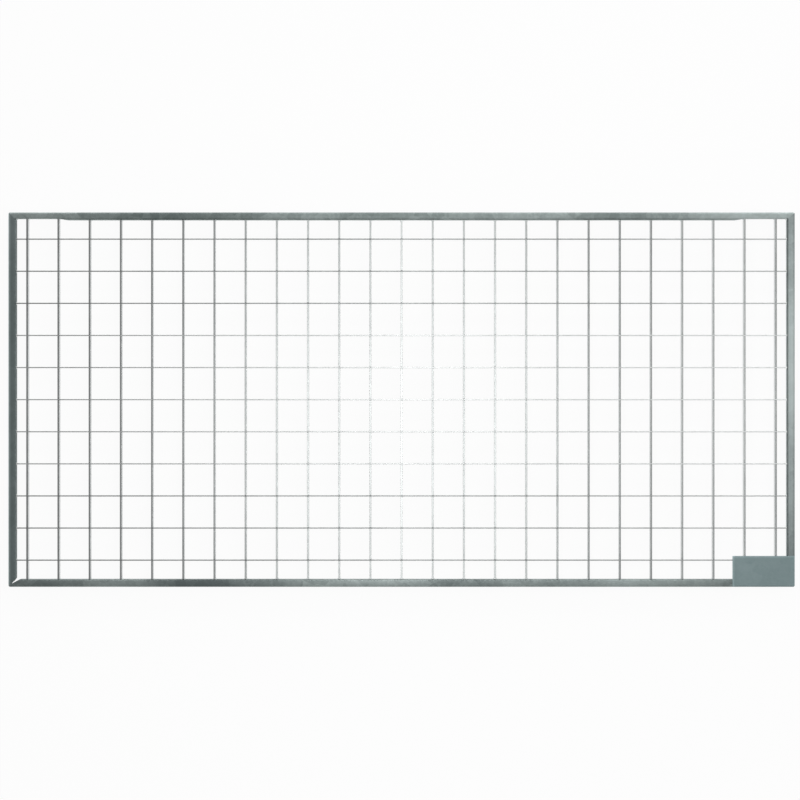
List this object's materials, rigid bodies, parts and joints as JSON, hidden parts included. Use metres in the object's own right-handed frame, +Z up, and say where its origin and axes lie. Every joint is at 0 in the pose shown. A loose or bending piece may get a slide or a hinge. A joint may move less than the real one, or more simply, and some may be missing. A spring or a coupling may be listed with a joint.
{
  "type": "light well grate",
  "caption": "Flat rectangular walk-on grate for a basement light well: pressed mesh of upright bars in a mitred angle frame with a blank corner plate.",
  "frame": {"origin": "middle of the grate's underside, on the surface it lies on", "axes": "+X along the length, +Y across the width towards the edge with the two end reliefs, +Z up out of the walking surface"},
  "size_m": [0.84, 0.4, 0.02],
  "materials": {
    "frame_zinc": "hot-dip galvanised, satin grey-green zinc with soft streaks",
    "bar_zinc": "hot-dip galvanised, satin zinc",
    "cross_zinc": "hot-dip galvanised, satin zinc",
    "plate_zinc": "hot-dip galvanised sheet, bare"
  },
  "bodies": {
    "root": {"frame_front": "frame_zinc", "frame_back": "frame_zinc", "frame_left": "frame_zinc", "frame_right": "frame_zinc", "corner_plate": "plate_zinc", "bearing_bar_01": "bar_zinc", "bearing_bar_02": "bar_zinc", "bearing_bar_03": "bar_zinc", "bearing_bar_04": "bar_zinc", "bearing_bar_05": "bar_zinc", "bearing_bar_06": "bar_zinc", "bearing_bar_07": "bar_zinc", "bearing_bar_08": "bar_zinc", "bearing_bar_09": "bar_zinc", "bearing_bar_10": "bar_zinc", "bearing_bar_11": "bar_zinc", "bearing_bar_12": "bar_zinc", "bearing_bar_13": "bar_zinc", "bearing_bar_14": "bar_zinc", "bearing_bar_15": "bar_zinc", "bearing_bar_16": "bar_zinc", "bearing_bar_17": "bar_zinc", "bearing_bar_18": "bar_zinc", "bearing_bar_19": "bar_zinc", "bearing_bar_20": "bar_zinc", "bearing_bar_21": "bar_zinc", "bearing_bar_22": "bar_zinc", "bearing_bar_23": "bar_zinc", "bearing_bar_24": "bar_zinc", "bearing_bar_25": "bar_zinc", "cross_bar_01": "cross_zinc", "cross_bar_02": "cross_zinc", "cross_bar_03": "cross_zinc", "cross_bar_04": "cross_zinc", "cross_bar_05": "cross_zinc", "cross_bar_06": "cross_zinc", "cross_bar_07": "cross_zinc", "cross_bar_08": "cross_zinc", "cross_bar_09": "cross_zinc", "cross_bar_10": "cross_zinc", "cross_bar_11": "cross_zinc"}
  },
  "joints": []
}
